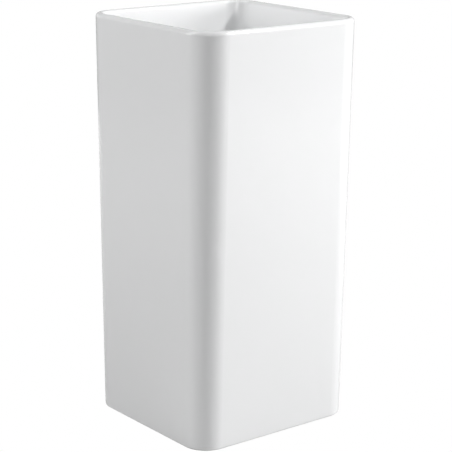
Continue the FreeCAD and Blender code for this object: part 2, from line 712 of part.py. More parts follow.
def floor_bracket():
    """Steel angle: an upright leg for the bolt and a foot with a slot for the floor screw."""
    back_y = PAD_FACE - PAD_THICK
    half = BRACKET_WIDE / 2.0
    outer = Part.makeBox(BRACKET_WIDE, BRACKET_FOOT, BRACKET_LEG, V(-half, back_y - BRACKET_FOOT, 0))
    heel = [edge for edge in outer.Edges if is_heel(edge, back_y, 0)]
    outer = outer.makeFillet(BRACKET_BEND_R, heel)
    inner = Part.makeBox(BRACKET_WIDE + 2 * OVERRUN, BRACKET_FOOT, BRACKET_LEG,
                         V(-half - OVERRUN, back_y - STEEL - BRACKET_FOOT, STEEL))
    heel = [edge for edge in inner.Edges if is_heel(edge, back_y - STEEL, STEEL)]
    inner = inner.makeFillet(BRACKET_BEND_R - STEEL, heel)
    bracket = outer.cut(inner)
    bolt_hole = at_fixing(disc(BOLT_R + BOLT_FIT, -OVERRUN, STEEL + OVERRUN), back_y - STEEL)
    slot_y = back_y - BRACKET_FOOT / 2.0
    middle = Part.makeBox(SLOT_LENGTH - 2 * SLOT_R, 2 * SLOT_R, STEEL + 2 * OVERRUN,
                          V(SLOT_R - SLOT_LENGTH / 2.0, slot_y - SLOT_R, -OVERRUN))
    ends = []
    for side in (-1, 1):
        x = side * (SLOT_LENGTH / 2.0 - SLOT_R)
        ends.append(disc(SLOT_R, -OVERRUN, STEEL + OVERRUN, x, slot_y))
    slot = middle.multiFuse(ends)
    return bracket.cut(bolt_hole).cut(slot)


def is_heel(edge, y, z):
    """Whether an edge runs along X at the given y and z."""
    box = edge.BoundBox
    upright = abs(box.YMin - y) < ON_PLANE and abs(box.YMax - y) < ON_PLANE
    return upright and abs(box.ZMin - z) < ON_PLANE and abs(box.ZMax - z) < ON_PLANE


def fixing_nut():
    """Hexagon nut behind the bracket's upright leg."""
    nut = chamfered_prism(NUT_FLATS, 0, NUT_THICK)
    nut = nut.cut(disc(BOLT_R + NUT_FIT, -OVERRUN, NUT_THICK + OVERRUN))
    return at_fixing(nut, PAD_FACE - PAD_THICK - STEEL - NUT_THICK)


NODES = {
    "basin_body": basin_body,
    "waste_body": waste_body,
    "waste_gasket": waste_gasket,
    "click_sleeve": click_sleeve,
    "click_spring": click_spring,
    "plug_cap": plug_cap,
    "plug_seal": plug_seal,
    "plug_stem": plug_stem,
    "cone_washer": cone_washer,
    "slip_washer": slip_washer,
    "backnut": backnut,
    "inlet_nut": inlet_nut,
    "inlet_seal": inlet_seal,
    "inlet_tube": inlet_tube,
    "trap_nut": trap_nut,
    "trap_seal": trap_seal,
    "trap_body": trap_body,
    "trap_cup": trap_cup,
    "cup_seal": cup_seal,
    "outlet_nut": outlet_nut,
    "outlet_seal": outlet_seal,
    "waste_arm": waste_arm,
}
PAIRS = {
    "floor_brackets": floor_bracket,
    "fixing_pads": fixing_pad,
    "fixing_bushes": fixing_bush,
    "fixing_washers": fixing_washer,
    "fixing_bolts": fixing_bolt,
    "fixing_nuts": fixing_nut,
}

os.makedirs("parts", exist_ok=True)
for name, make in NODES.items():
    make().exportStep("parts/" + name + ".step")
for name, make in PAIRS.items():
    fixing_pair(make).exportStep("parts/" + name + ".step")
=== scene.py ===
"""Looks of a freestanding pedestal basin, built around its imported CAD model.

Every length is in metres and every piece is made in the model's own frame: +Z up, -Y the front,
the origin in the middle of the base. Each sub-assembly is a class, each finish is a frozen
dataclass, and main() builds them in order.
"""

import logging
import math
from dataclasses import dataclass
from enum import Enum

import bmesh
import bpy
from bmesh.types import BMesh
from bpy.types import Material, Node, NodeSocket, NodeTree, Object
from mathutils import Matrix, Vector


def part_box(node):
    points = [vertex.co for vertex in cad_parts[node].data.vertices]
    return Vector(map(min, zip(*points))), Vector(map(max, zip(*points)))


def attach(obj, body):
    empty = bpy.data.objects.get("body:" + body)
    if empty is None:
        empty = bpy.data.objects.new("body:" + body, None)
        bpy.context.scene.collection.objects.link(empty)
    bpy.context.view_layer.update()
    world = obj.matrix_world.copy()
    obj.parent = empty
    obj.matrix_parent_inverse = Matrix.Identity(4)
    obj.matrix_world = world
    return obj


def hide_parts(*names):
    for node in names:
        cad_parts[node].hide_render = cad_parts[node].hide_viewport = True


MM = 0.001
FULL_TURN = 2.0 * math.pi
BASE_HALF_WIDTH = 200.0 * MM
BASE_HALF_DEPTH = 189.0 * MM
BASE_CORNER = 52.0 * MM
TOP_CORNER = 60.0 * MM
SHARP = math.radians(35.0)  # faces that meet at more than this keep a crisp edge
FLAT = math.radians(1.0)  # faces that meet at less than this are one face
SAME_PLACE = 1e-6  # points closer than this are one point
LEVEL = 1e-7  # lengths under this count as nothing
MIX_A, MIX_B, MIX_OUT = 6, 7, 2  # a Mix node's two colour inputs and its colour output
ROUND_STEPS = 5  # steps round a turned corner
EDGE_STEPS = 3  # steps round an eased edge
RIB_SIDES = 12  # sides of a grip rib before its head and foot are domed
RIB_DOME = 0.6  # rounding of a rib's ends, as a share of its radius
LOG = logging.getLogger("basin")

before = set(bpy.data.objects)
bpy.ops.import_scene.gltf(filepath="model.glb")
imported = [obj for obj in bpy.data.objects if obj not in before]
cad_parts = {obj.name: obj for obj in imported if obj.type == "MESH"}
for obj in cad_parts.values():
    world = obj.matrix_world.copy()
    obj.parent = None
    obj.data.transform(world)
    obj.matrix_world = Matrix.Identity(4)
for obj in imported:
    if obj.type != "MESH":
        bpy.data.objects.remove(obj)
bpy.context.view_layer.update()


class Body(Enum):
    """The model's bodies that new pieces ride on."""

    BASIN = "basin"
    TRAP_CUP = "trap_cup"


class Slot(Enum):
    """Material slot names, one for each kind of finish on the new pieces."""

    CHROME = "chrome"
    BRASS = "brass"
    BLACK_RUBBER = "black_rubber"
    ZINC_STEEL = "zinc_steel"
    WHITE_PP = "white_pp"
    NYLON = "nylon"


class Finish(Enum):
    """The finishes that nodes and pieces are given."""

    CHINA = "china"
    CHROME = "chrome"
    BRASS = "brass"
    SPRING = "spring"
    RUBBER = "rubber"
    NYLON = "nylon"
    ZINC = "zinc"
    POLYPROPYLENE = "polypropylene"


# ---------------------------------------------------------------- colour and node helpers

def linear(hex_colour: str) -> tuple[float, float, float, float]:
    """Turn an sRGB hex colour into a linear colour.

    Args:
        hex_colour: Six hex digits after a hash.

    Returns:
        Linear red, green, blue and an alpha of one.
    """
    channels = []
    for start in (1, 3, 5):
        value = int(hex_colour[start:start + 2], 16) / 255.0
        if value <= 0.04045:
            channels.append(value / 12.92)
        else:
            channels.append(((value + 0.055) / 1.055) ** 2.4)
    return channels[0], channels[1], channels[2], 1.0


def add_node(tree: NodeTree, kind: str, inputs: dict | None = None,
             **settings: object) -> Node:
    """Add a node with its settings, fixed values and incoming links.

    Args:
        tree: The node tree to add to.
        kind: The node's type name, without the ShaderNode that all begin with.
        inputs: Input socket to the output socket that feeds it, or to its fixed value.
        settings: Attributes of the node itself.

    Returns:
        The new node.
    """
    node = tree.nodes.new("ShaderNode" + kind)
    for name, value in settings.items():
        setattr(node, name, value)
    for socket, value in (inputs or {}).items():
        if isinstance(value, NodeSocket):
            tree.links.new(value, node.inputs[socket])
        else:
            node.inputs[socket].default_value = value
    return node


def new_finish(name: str) -> tuple[Material, NodeTree, NodeSocket]:
    """Start a material.

    Args:
        name: The real finish's name.

    Returns:
        The material, its empty tree and the Object coordinates.
    """
    material = bpy.data.materials.new(name)
    material.use_nodes = True
    material.node_tree.nodes.clear()
    place = add_node(material.node_tree, "TexCoord").outputs["Object"]
    return material, material.node_tree, place


def frequency(size_mm: float) -> float:
    """Texture scale whose features repeat about every size_mm in Object coordinates."""
    return 1.0 / (size_mm * MM)


# ---------------------------------------------------------------- finishes

@dataclass(frozen=True)
class GlazedChina:
    """Slip-cast vitreous china under a fired white glaze, bare biscuit inside the column.

    The glaze is a thin layer of glass, so it mirrors softly, with a slow waviness from the cast
    and a faint orange peel from the spray. The glaze line runs a little unevenly. The clay's own
    grain is finer than 0.2 mm and is drawn coarser, at 1.2 mm, so that it shows.
    """

    glaze: str = "#F4F4F5"
    glaze_thin: str = "#F2F3F3"
    biscuit: str = "#ECE6DA"
    biscuit_dark: str = "#DFD7C8"
    ior: float = 1.52
    cloud_mm: float = 90.0
    speckle_mm: float = 14.0
    speckle_detail: float = 6.0
    sheen_mm: float = 45.0
    sheen: tuple[float, float] = (0.07, 0.11)
    biscuit_rough: float = 0.88
    wave_mm: float = 60.0
    wave_deep_mm: float = 0.04
    peel_mm: float = 3.0
    peel_deep_mm: float = 0.0025
    grain_mm: float = 1.2
    grain_detail: float = 4.0
    grain_deep_mm: float = 0.25
    drip_mm: float = 22.0
    drip_detail: float = 3.0
    drip_spread: tuple[float, float] = (0.3, 0.7)
    ragged_mm: float = 1.6
    glaze_turn_mm: float = 8.5
    roof_under_gasket_mm: float = 4.0
    foot_wiped_mm: float = 1.0
    foot_ragged: float = 0.3

    def build(self) -> Material:
        """Make the material.

        Returns:
            The material.
        """
        material, tree, place = new_finish("glazed_vitreous_china")
        bare = self.bare_mask(tree, place)
        cloud = add_node(tree, "TexNoise", {
            "Vector": place, "Scale": frequency(self.cloud_mm)})
        glaze = add_node(tree, "Mix", {
            "Factor": cloud.outputs["Fac"], MIX_A: linear(self.glaze),
            MIX_B: linear(self.glaze_thin)}, data_type="RGBA")
        speckle = add_node(tree, "TexNoise", {
            "Vector": place, "Scale": frequency(self.speckle_mm), "Detail": self.speckle_detail})
        clay = add_node(tree, "Mix", {
            "Factor": speckle.outputs["Fac"], MIX_A: linear(self.biscuit),
            MIX_B: linear(self.biscuit_dark)}, data_type="RGBA")
        colour = add_node(tree, "Mix", {
            "Factor": bare, MIX_A: glaze.outputs[MIX_OUT], MIX_B: clay.outputs[MIX_OUT]},
            data_type="RGBA")
        sheen = add_node(tree, "TexNoise", {
            "Vector": place, "Scale": frequency(self.sheen_mm)})
        sheen = add_node(tree, "MapRange", {
            "Value": sheen.outputs["Fac"], "To Min": self.sheen[0], "To Max": self.sheen[1]})
        rough = add_node(tree, "Mix", {
            "Factor": bare, "A": sheen.outputs["Result"], "B": self.biscuit_rough})
        wave = add_node(tree, "TexNoise", {
            "Vector": place, "Scale": frequency(self.wave_mm), "Detail": 1.0})
        peel = add_node(tree, "TexNoise", {
            "Vector": place, "Scale": frequency(self.peel_mm), "Detail": 1.0})
        grain = add_node(tree, "TexNoise", {
            "Vector": place, "Scale": frequency(self.grain_mm), "Detail": self.grain_detail})
        grain = add_node(tree, "Math", {0: grain.outputs["Fac"], 1: bare},
                         operation="MULTIPLY")
        wavy = add_node(tree, "Bump", {
            "Height": wave.outputs["Fac"], "Distance": self.wave_deep_mm * MM})
        peeled = add_node(tree, "Bump", {
            "Height": peel.outputs["Fac"], "Normal": wavy.outputs["Normal"],
            "Distance": self.peel_deep_mm * MM})
        grained = add_node(tree, "Bump", {
            "Height": grain.outputs["Value"], "Normal": peeled.outputs["Normal"],
            "Distance": self.grain_deep_mm * MM})
        shader = add_node(tree, "BsdfPrincipled", {
            "Base Color": colour.outputs[MIX_OUT], "Roughness": rough.outputs[0],
            "Normal": grained.outputs["Normal"], "IOR": self.ior})
        add_node(tree, "OutputMaterial", {"Surface": shader.outputs["BSDF"]})
        return material

    def bare_mask(self, tree: NodeTree,
                  place: NodeSocket) -> NodeSocket:
        """Tell bare clay from glaze: the foot ring and the inside of the column are bare.

        The depth below the outer skin is worked out from the column's rounded rectangle, which
        widens from the foot to the rim.

        Args:
            tree: The material's tree.
            place: Its Object coordinates.

        Returns:
            A factor that is one where the clay is bare.
        """
        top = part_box("basin_body")[1]
        split = add_node(tree, "SeparateXYZ", {"Vector": place})
        height = split.outputs["Z"]
        share = add_node(tree, "Math", {0: height, 1: top.z},
                         operation="DIVIDE").outputs["Value"]
        corner = add_node(tree, "Math", {
            0: share, 1: TOP_CORNER - BASE_CORNER, 2: BASE_CORNER},
            operation="MULTIPLY_ADD").outputs["Value"]
        squares = []
        for axis, base, rim in (("X", BASE_HALF_WIDTH, top.x), ("Y", BASE_HALF_DEPTH, top.y)):
            face = add_node(tree, "Math", {0: share, 1: rim - base, 2: base},
                            operation="MULTIPLY_ADD")
            arc = add_node(tree, "Math", {0: face.outputs["Value"], 1: corner},
                           operation="SUBTRACT")
            reach = add_node(tree, "Math", {0: split.outputs[axis]},
                             operation="ABSOLUTE")
            over = add_node(tree, "Math", {
                0: reach.outputs["Value"], 1: arc.outputs["Value"]}, operation="SUBTRACT")
            over = add_node(tree, "Math", {0: over.outputs["Value"], 1: 0.0},
                            operation="MAXIMUM")
            squares.append(add_node(tree, "Math", {0: over.outputs["Value"], 1: 2.0},
                                    operation="POWER").outputs["Value"])
        out = add_node(tree, "Math", {0: squares[0], 1: squares[1]}, operation="ADD")
        out = add_node(tree, "Math", {0: out.outputs["Value"]}, operation="SQRT")
        deep = add_node(tree, "Math", {0: corner, 1: out.outputs["Value"]},
                        operation="SUBTRACT")
        drips = add_node(tree, "TexNoise", {
            "Vector": place, "Scale": frequency(self.drip_mm), "Detail": self.drip_detail})
        ragged = add_node(tree, "MapRange", {
            "Value": drips.outputs["Fac"], "From Min": self.drip_spread[0],
            "From Max": self.drip_spread[1], "To Min": -self.ragged_mm * MM,
            "To Max": self.ragged_mm * MM}).outputs["Result"]
        line = add_node(tree, "Math", {0: ragged, 1: self.glaze_turn_mm * MM},
                        operation="ADD")
        inside = add_node(tree, "Math", {
            0: deep.outputs["Value"], 1: line.outputs["Value"]}, operation="GREATER_THAN")
        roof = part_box("waste_gasket")[0].z - self.roof_under_gasket_mm * MM
        under = add_node(tree, "Math", {0: height, 1: roof}, operation="LESS_THAN")
        inside = add_node(tree, "Math", {
            0: inside.outputs["Value"], 1: under.outputs["Value"]}, operation="MULTIPLY")
        wiped = add_node(tree, "Math", {0: ragged, 1: self.foot_ragged, 2: height},
                         operation="MULTIPLY_ADD")
        foot = add_node(tree, "Math", {
            0: wiped.outputs["Value"], 1: self.foot_wiped_mm * MM}, operation="LESS_THAN")
        return add_node(tree, "Math", {
            0: inside.outputs["Value"], 1: foot.outputs["Value"]},
            operation="MAXIMUM").outputs["Value"]


@dataclass(frozen=True)
class ChromePlate:
    """Bright chrome on brass: a near mirror with a few wiping marks and dried water spots.

    Wiping marks are about 0.1 mm apart and are drawn coarser, at 1.2 mm, so that they show.
    """

    colour: str = "#CDD0D3"
    spot_mm: float = 4.0
    spot_detail: float = 3.0
    spot_spread: tuple[float, float] = (0.5, 0.75)
    dull: tuple[float, float] = (0.04, 0.12)
    wipe_mm: float = 1.2
    wipe_long: tuple[float, float, float] = (1.0, 9.0, 1.0)
    wipe_deep_mm: float = 0.0015

    def build(self) -> Material:
        """Make the material.

        Returns:
            The material.
        """
        material, tree, place = new_finish("polished_chrome_plate")
        spots = add_node(tree, "TexNoise", {
            "Vector": place, "Scale": frequency(self.spot_mm), "Detail": self.spot_detail})
        dull = add_node(tree, "MapRange", {
            "Value": spots.outputs["Fac"], "From Min": self.spot_spread[0],
            "From Max": self.spot_spread[1], "To Min": self.dull[0], "To Max": self.dull[1]})
        drawn = add_node(tree, "Mapping", {"Vector": place, "Scale": self.wipe_long})
        wipes = add_node(tree, "TexNoise", {
            "Vector": drawn.outputs["Vector"], "Scale": frequency(self.wipe_mm)})
        bump = add_node(tree, "Bump", {
            "Height": wipes.outputs["Fac"], "Distance": self.wipe_deep_mm * MM})
        shader = add_node(tree, "BsdfPrincipled", {
            "Base Color": linear(self.colour), "Metallic": 1.0,
            "Roughness": dull.outputs["Result"], "Normal": bump.outputs["Normal"]})
        add_node(tree, "OutputMaterial", {"Surface": shader.outputs["BSDF"]})
        return material


@dataclass(frozen=True)
class TurnedBrass:
    """Machined bare brass: fine turning rings across the axis and a little brown tarnish.

    Turning rings are about 0.1 mm apart and are drawn coarser, at 0.6 mm, so that they show.
    """

    bright: str = "#D2AC63"
    tarnish: str = "#9C7538"
    stain_mm: float = 7.0
    stain_detail: float = 5.0
    stain_spread: tuple[float, float] = (0.45, 0.75)
    stain_most: float = 0.7
    dull: tuple[float, float] = (0.18, 0.38)
    ring_mm: float = 0.6
    ring_wander: float = 0.4
    ring_deep_mm: float = 0.006

    def build(self) -> Material:
        """Make the material.

        Returns:
            The material.
        """
        material, tree, place = new_finish("turned_bare_brass")
        stain = add_node(tree, "TexNoise", {
            "Vector": place, "Scale": frequency(self.stain_mm), "Detail": self.stain_detail})
        brown = add_node(tree, "MapRange", {
            "Value": stain.outputs["Fac"], "From Min": self.stain_spread[0],
            "From Max": self.stain_spread[1], "To Max": self.stain_most})
        colour = add_node(tree, "Mix", {
            "Factor": brown.outputs["Result"], MIX_A: linear(self.bright),
            MIX_B: linear(self.tarnish)}, data_type="RGBA")
        dull = add_node(tree, "MapRange", {
            "Value": stain.outputs["Fac"], "To Min": self.dull[0], "To Max": self.dull[1]})
        rings = add_node(tree, "TexWave", {
            "Vector": place, "Distortion": self.ring_wander,
            "Scale": frequency(self.ring_mm) / FULL_TURN}, bands_direction="Z")
        bump = add_node(tree, "Bump", {
            "Height": rings.outputs["Fac"], "Distance": self.ring_deep_mm * MM})
        shader = add_node(tree, "BsdfPrincipled", {
            "Base Color": colour.outputs[MIX_OUT], "Metallic": 1.0,
            "Roughness": dull.outputs["Result"], "Normal": bump.outputs["Normal"]})
        add_node(tree, "OutputMaterial", {"Surface": shader.outputs["BSDF"]})
        return material


@dataclass(frozen=True)
class MouldedRubber:
    """Moulded EPDM seals: matt black with a fine grain and a grey bloom in places.

    The mould's grain is about 0.05 mm and is drawn coarser, at 0.5 mm, so that it shows.
    """

    black: str = "#1B1C1E"
    bloom: str = "#36373A"
    ior: float = 1.52
    dust_mm: float = 6.0
    dust_detail: float = 4.0
    dust_spread: tuple[float, float] = (0.45, 0.8)
    dust_most: float = 0.8
    matt: tuple[float, float] = (0.5, 0.8)
    grain_mm: float = 0.5
    grain_deep_mm: float = 0.02

    def build(self) -> Material:
        """Make the material.

        Returns:
            The material.
        """
        material, tree, place = new_finish("moulded_epdm_rubber")
        dust = add_node(tree, "TexNoise", {
            "Vector": place, "Scale": frequency(self.dust_mm), "Detail": self.dust_detail})
        grey = add_node(tree, "MapRange", {
            "Value": dust.outputs["Fac"], "From Min": self.dust_spread[0],
            "From Max": self.dust_spread[1], "To Max": self.dust_most})
        colour = add_node(tree, "Mix", {
            "Factor": grey.outputs["Result"], MIX_A: linear(self.black),
            MIX_B: linear(self.bloom)}, data_type="RGBA")
        matt = add_node(tree, "MapRange", {
            "Value": dust.outputs["Fac"], "To Min": self.matt[0], "To Max": self.matt[1]})
        grain = add_node(tree, "TexNoise", {
            "Vector": place, "Scale": frequency(self.grain_mm)})
        bump = add_node(tree, "Bump", {
            "Height": grain.outputs["Fac"], "Distance": self.grain_deep_mm * MM})
        shader = add_node(tree, "BsdfPrincipled", {
            "Base Color": colour.outputs[MIX_OUT], "Roughness": matt.outputs["Result"],
            "Normal": bump.outputs["Normal"], "IOR": self.ior})
        add_node(tree, "OutputMaterial", {"Surface": shader.outputs["BSDF"]})
        return material


@dataclass(frozen=True)
class SpringWire:
    """Drawn stainless wire: grey metal with draw marks.

    Draw marks are finer than 0.1 mm and are drawn coarser, at 1 mm, so that they show.
    """

    light: str = "#A4A7AB"
    dark: str = "#8A8D92"
    mark_mm: float = 1.0
    dull: tuple[float, float] = (0.2, 0.42)

    def build(self) -> Material:
        """Make the material.

        Returns:
            The material.
        """
        material, tree, place = new_finish("drawn_stainless_wire")
        marks = add_node(tree, "TexNoise", {
            "Vector": place, "Scale": frequency(self.mark_mm)})
        colour = add_node(tree, "Mix", {
            "Factor": marks.outputs["Fac"], MIX_A: linear(self.light),
            MIX_B: linear(self.dark)}, data_type="RGBA")
        dull = add_node(tree, "MapRange", {
            "Value": marks.outputs["Fac"], "To Min": self.dull[0], "To Max": self.dull[1]})
        shader = add_node(tree, "BsdfPrincipled", {
            "Base Color": colour.outputs[MIX_OUT], "Metallic": 1.0,
            "Roughness": dull.outputs["Result"]})
        add_node(tree, "OutputMaterial", {"Surface": shader.outputs["BSDF"]})
        return material


@dataclass(frozen=True)
class ZincPlate:
    """Pressed steel under bright zinc: a mottled grey spangle with a blue and straw passivation.

    The plating's pits are about 0.1 mm and are drawn coarser, at 0.8 mm, so that they show.
    """

    grey: str = "#B4B8BD"
    blue: str = "#A3AEBB"
    straw: str = "#BDB59D"
    tint_mm: float = 18.0
    spangle_mm: float = 3.0
    tint_share: tuple[float, float] = (0.25, 0.75)
    dull: tuple[float, float] = (0.3, 0.48)
    pit_mm: float = 0.8
    pit_detail: float = 3.0
    pit_deep_mm: float = 0.01

    def build(self) -> Material:
        """Make the material.

        Returns:
            The material.
        """
        material, tree, place = new_finish("bright_zinc_plate")
        drift = add_node(tree, "TexNoise", {
            "Vector": place, "Scale": frequency(self.tint_mm)})
        tint = add_node(tree, "Mix", {
            "Factor": drift.outputs["Fac"], MIX_A: linear(self.blue),
            MIX_B: linear(self.straw)}, data_type="RGBA")
        cells = add_node(tree, "TexVoronoi", {
            "Vector": place, "Scale": frequency(self.spangle_mm)})
        grain = add_node(tree, "MapRange", {
            "Value": cells.outputs["Color"], "To Min": self.tint_share[0],
            "To Max": self.tint_share[1]})
        colour = add_node(tree, "Mix", {
            "Factor": grain.outputs["Result"], MIX_A: linear(self.grey),
            MIX_B: tint.outputs[MIX_OUT]}, data_type="RGBA")
        dull = add_node(tree, "MapRange", {
            "Value": cells.outputs["Color"], "To Min": self.dull[0], "To Max": self.dull[1]})
        pits = add_node(tree, "TexNoise", {
            "Vector": place, "Scale": frequency(self.pit_mm), "Detail": self.pit_detail})
        bump = add_node(tree, "Bump", {
            "Height": pits.outputs["Fac"], "Distance": self.pit_deep_mm * MM})
        shader = add_node(tree, "BsdfPrincipled", {
            "Base Color": colour.outputs[MIX_OUT], "Metallic": 1.0,
            "Roughness": dull.outputs["Result"], "Normal": bump.outputs["Normal"]})
        add_node(tree, "OutputMaterial", {"Surface": shader.outputs["BSDF"]})
        return material


@dataclass(frozen=True)
class MouldedPolypropylene:
    """Injection-moulded white polypropylene: semi-gloss and waxy, with a fine mould texture.

    The mould's texture is about 0.1 mm and is drawn coarser, at 0.9 mm, so that it shows.
    """

    white: str = "#EBECE8"
    shade: str = "#DFE0DA"
    ior: float = 1.49
    flow_mm: float = 26.0
    flow_detail: float = 3.0
    flow_long: tuple[float, float, float] = (1.0, 1.0, 0.4)
    dull: tuple[float, float] = (0.24, 0.42)
    texture_mm: float = 0.9
    texture_deep_mm: float = 0.012
    waxy: float = 0.12
    waxy_mm: float = 2.0

    def build(self) -> Material:
        """Make the material.

        Returns:
            The material.
        """
        material, tree, place = new_finish("moulded_white_polypropylene")
        drawn = add_node(tree, "Mapping", {"Vector": place, "Scale": self.flow_long})
        flow = add_node(tree, "TexNoise", {
            "Vector": drawn.outputs["Vector"], "Scale": frequency(self.flow_mm),
            "Detail": self.flow_detail})
        colour = add_node(tree, "Mix", {
            "Factor": flow.outputs["Fac"], MIX_A: linear(self.white),
            MIX_B: linear(self.shade)}, data_type="RGBA")
        dull = add_node(tree, "MapRange", {
            "Value": flow.outputs["Fac"], "To Min": self.dull[0], "To Max": self.dull[1]})
        skin = add_node(tree, "TexNoise", {
            "Vector": place, "Scale": frequency(self.texture_mm)})
        bump = add_node(tree, "Bump", {
            "Height": skin.outputs["Fac"], "Distance": self.texture_deep_mm * MM})
        shader = add_node(tree, "BsdfPrincipled", {
            "Base Color": colour.outputs[MIX_OUT], "Roughness": dull.outputs["Result"],
            "Normal": bump.outputs["Normal"], "IOR": self.ior, "Subsurface Weight": self.waxy,
            "Subsurface Scale": self.waxy_mm * MM})
        add_node(tree, "OutputMaterial", {"Surface": shader.outputs["BSDF"]})
        return material


@dataclass(frozen=True)
class NaturalNylon:
    """Natural nylon: warm off-white, satin and slightly see-through."""

    light: str = "#E6DDC6"
    shade: str = "#D9CFB5"
    ior: float = 1.53
    flow_mm: float = 8.0
    satin: tuple[float, float] = (0.36, 0.54)
    waxy: float = 0.2
    waxy_mm: float = 1.5

    def build(self) -> Material:
        """Make the material.

        Returns:
            The material.
        """
        material, tree, place = new_finish("natural_nylon")
        flow = add_node(tree, "TexNoise", {
            "Vector": place, "Scale": frequency(self.flow_mm)})
        colour = add_node(tree, "Mix", {
            "Factor": flow.outputs["Fac"], MIX_A: linear(self.light),
            MIX_B: linear(self.shade)}, data_type="RGBA")
        satin = add_node(tree, "MapRange", {
            "Value": flow.outputs["Fac"], "To Min": self.satin[0], "To Max": self.satin[1]})
        shader = add_node(tree, "BsdfPrincipled", {
            "Base Color": colour.outputs[MIX_OUT], "Roughness": satin.outputs["Result"],
            "IOR": self.ior, "Subsurface Weight": self.waxy,
            "Subsurface Scale": self.waxy_mm * MM})
        add_node(tree, "OutputMaterial", {"Surface": shader.outputs["BSDF"]})
        return material


# ---------------------------------------------------------------- mesh helpers

def lathe(corners: list[tuple[float, float, float]], steps: int = 96) -> BMesh:
    """Turn a closed outline about Z.

    Args:
        corners: Radius, height and rounding of each corner, in order round the outline.
        steps: Number of steps of the full turn.

    Returns:
        A closed mesh. Edges that lie on the axis leave no wall.
    """
    work = bmesh.new()
    points = [work.verts.new((radius, 0.0, height)) for radius, height, _ in corners]
    work.faces.new(points)
    for point, (_, _, rounding) in zip(points, corners):
        if rounding > 0.0:
            bmesh.ops.bevel(work, geom=[point], offset=rounding, offset_type="OFFSET",
                            segments=ROUND_STEPS, profile=0.5, affect="VERTICES", material=-1)
    bmesh.ops.delete(work, geom=work.faces[:], context="FACES_ONLY")
    on_axis = [edge for edge in work.edges if all(abs(vert.co.x) < LEVEL for vert in edge.verts)]
    bmesh.ops.delete(work, geom=on_axis, context="EDGES")
    bmesh.ops.spin(work, geom=work.verts[:] + work.edges[:], cent=(0, 0, 0), axis=(0, 0, 1),
                   dvec=(0, 0, 0), angle=FULL_TURN, steps=steps, use_merge=True)
    bmesh.ops.remove_doubles(work, verts=work.verts[:], dist=SAME_PLACE)
    bmesh.ops.recalc_face_normals(work, faces=work.faces[:])
    return work


def thread(radius: float, low: float, high: float, pitch: float, depth: float,
           steps: int = 40) -> BMesh:
    """Wind the ridge of a screw thread round Z.

    Args:
        radius: Radius at the crest.
        low: Height where the ridge starts.
        high: Height where it ends.
        pitch: Rise in one turn.
        depth: Height of the ridge.
        steps: Steps in one turn.

    Returns:
        A closed mesh of the ridge.
    """
    work = bmesh.new()
    root = radius - depth
    foot, crest = 0.42, 0.08  # half widths of the ridge as shares of the pitch
    outline = ((root, foot), (radius, crest), (radius, -crest), (root, -foot))
    points = [work.verts.new((r, 0.0, low + pitch * (0.5 + along))) for r, along in outline]
    work.faces.new(points)
    turns = (high - low) / pitch - 1.0
    count = int(turns * steps)
    bmesh.ops.spin(work, geom=work.edges[:], cent=(0, 0, 0), axis=(0, 0, 1),
                   dvec=(0, 0, pitch / steps), angle=FULL_TURN * count / steps, steps=count)
    open_edges = [edge for edge in work.edges if edge.is_boundary]
    bmesh.ops.holes_fill(work, edges=open_edges)
    bmesh.ops.recalc_face_normals(work, faces=work.faces[:])
    return work


def grip_ribs(count: int, circle: float, radius: float, low: float,
              high: float) -> BMesh:
    """Half-round grip ribs with domed ends, spaced round Z.

    Args:
        count: Number of ribs.
        circle: Radius of the circle that they stand on.
        radius: Radius of one rib.
        low: Foot of a rib.
        high: Head of a rib.

    Returns:
        A mesh of closed ribs.
    """
    work = bmesh.new()
    bmesh.ops.create_cone(work, cap_ends=True, segments=RIB_SIDES, radius1=radius,
                          radius2=radius, depth=high - low)
    ends = [edge for edge in work.edges
            if abs(edge.verts[0].co.z - edge.verts[1].co.z) < LEVEL]
    bmesh.ops.bevel(work, geom=ends, offset=radius * RIB_DOME, segments=EDGE_STEPS, profile=0.5,
                    affect="EDGES", material=-1)
    bmesh.ops.translate(work, verts=work.verts[:], vec=(circle, 0, (low + high) / 2.0))
    one = work.verts[:] + work.edges[:] + work.faces[:]
    bmesh.ops.spin(work, geom=one, cent=(0, 0, 0), axis=(0, 0, 1), dvec=(0, 0, 0),
                   angle=FULL_TURN * (count - 1) / count, steps=count - 1, use_duplicate=True)
    return work


def joined(parts: list[BMesh]) -> BMesh:
    """Put several meshes into the first one and free the rest.

    Args:
        parts: The meshes.

    Returns:
        The first mesh, with all of them in it.
    """
    whole = parts[0]
    for part in parts[1:]:
        mesh = bpy.data.meshes.new("join")
        part.to_mesh(mesh)
        part.free()
        whole.from_mesh(mesh)
        bpy.data.meshes.remove(mesh)
    return whole


def laid_back(work: BMesh, height: float) -> BMesh:
    """Turn an upright mesh so that +Z points to the back.

    Args:
        work: The mesh.
        height: Where its axis then lies.

    Returns:
        The same mesh.
    """
    turn = Matrix.Rotation(-math.pi / 2, 3, "X")
    bmesh.ops.rotate(work, verts=work.verts[:], cent=(0, 0, 0), matrix=turn)
    bmesh.ops.translate(work, verts=work.verts[:], vec=(0, 0, height))
    return work


def eased(node: str, width: float) -> BMesh:
    """Copy a CAD node and round its sharp edges a little, as a mould or a tumbling drum does.

    Args:
        node: The CAD node.
        width: How far each edge is taken back.

    Returns:
        The copy's mesh.
    """
    work = bmesh.new()
    work.from_mesh(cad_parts[node].data)
    bmesh.ops.remove_doubles(work, verts=work.verts[:], dist=SAME_PLACE)
    bmesh.ops.dissolve_limit(work, angle_limit=FLAT, verts=work.verts[:], edges=work.edges[:])
    sharp = [edge for edge in work.edges if edge.is_manifold and edge.calc_face_angle() > SHARP]
    bmesh.ops.bevel(work, geom=sharp, offset=width, offset_type="OFFSET", segments=EDGE_STEPS,
                    profile=0.5, affect="EDGES", clamp_overlap=True, material=-1)
    return work


